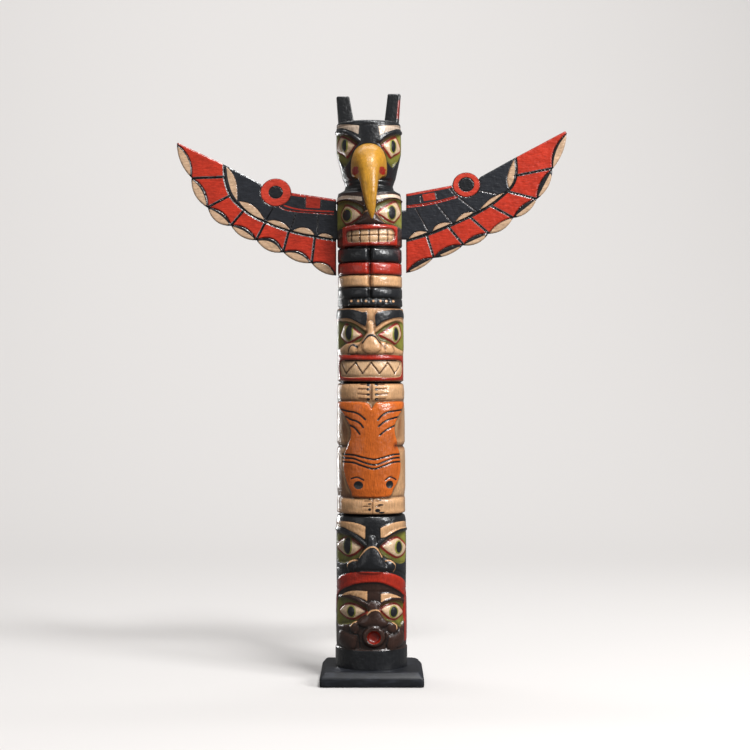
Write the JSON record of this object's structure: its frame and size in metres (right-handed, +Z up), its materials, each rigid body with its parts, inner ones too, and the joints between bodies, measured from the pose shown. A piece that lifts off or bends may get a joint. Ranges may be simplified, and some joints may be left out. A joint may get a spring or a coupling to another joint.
{
  "type": "totem pole",
  "caption": "Carved and painted table-top totem pole of stacked animal figures, with board wings, a let-in beak and a square base board.",
  "frame": {"origin": "middle of the base board's underside", "axes": "+Z up along the pole; the figures and the beak face -Y; the right wing as seen from the front is on +X"},
  "size_m": [0.4093, 0.121, 0.6133],
  "materials": {
    "base_board": "black stained wood, satin",
    "pole": "carved wood, hand painted black, red, cream, green, orange and brown, under satin varnish",
    "beak": "carved wood, yellow paint under satin varnish",
    "wing": "carved board, red, black and cream paint under satin varnish"
  },
  "bodies": {
    "root": {"base_board": "base_board", "pole": "pole", "beak": "beak", "wing_right": "wing", "wing_left": "wing"}
  },
  "joints": []
}
